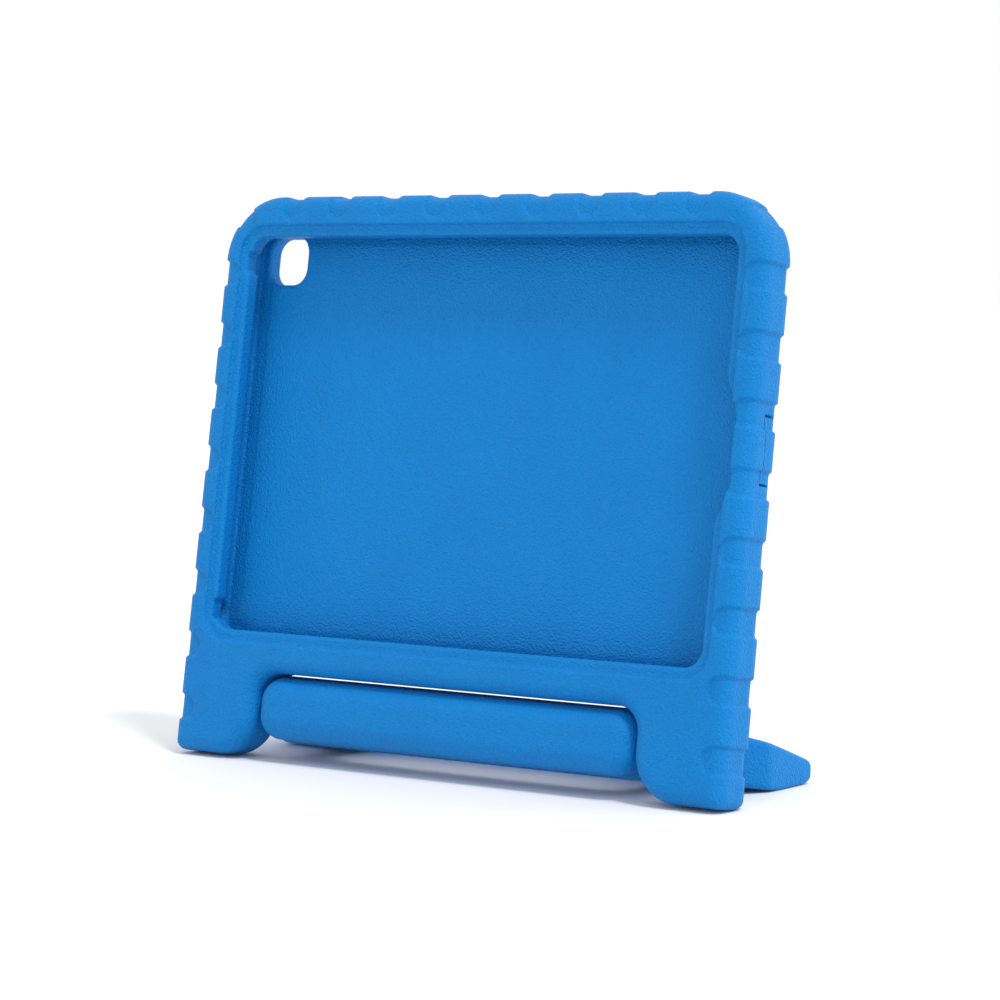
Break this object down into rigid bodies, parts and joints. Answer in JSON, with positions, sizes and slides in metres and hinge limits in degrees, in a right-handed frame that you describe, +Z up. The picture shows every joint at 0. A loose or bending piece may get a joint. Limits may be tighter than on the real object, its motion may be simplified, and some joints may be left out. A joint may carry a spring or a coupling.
{
  "type": "tablet case",
  "caption": "Moulded foam tablet case with scalloped edges, standing on two feet and a handle that folds back as a stand.",
  "frame": {"origin": "on the surface the case stands on, under the middle of its footprint", "axes": "+X to the right along the case's long side and the handle's hinge, +Y from the screen side to the back, +Z up"},
  "size_m": [0.271, 0.0903, 0.231],
  "materials": {
    "blue_foam": "satin moulded foam skin with a fine leather grain",
    "white_plastic": "smooth moulded nylon",
    "grey_plastic": "moulded, fine matte"
  },
  "bodies": {
    "case": {"foam_shell": "blue_foam", "pivot_socket_left": "grey_plastic", "pivot_socket_right": "grey_plastic"},
    "handle": {"carry_handle": "blue_foam", "pivot_pin_left": "white_plastic", "pivot_pin_right": "white_plastic"},
    "flap": {"charging_port_flap": "blue_foam"}
  },
  "joints": [
    {"name": "handle_fold", "type": "hinge", "parent": "case", "child": "handle", "pos_m": [0, -0.03084, 0.02113], "axis": [-1, 0, 0], "range_deg": [0, 99.2]},
    {"name": "flap_open", "type": "hinge", "parent": "case", "child": "flap", "pos_m": [0.135, -0.01424, 0.13398], "axis": [0, -0.1599, -0.9871], "range_deg": [0, 90], "stiffness_Nm_per_rad": 0.0005}
  ]
}
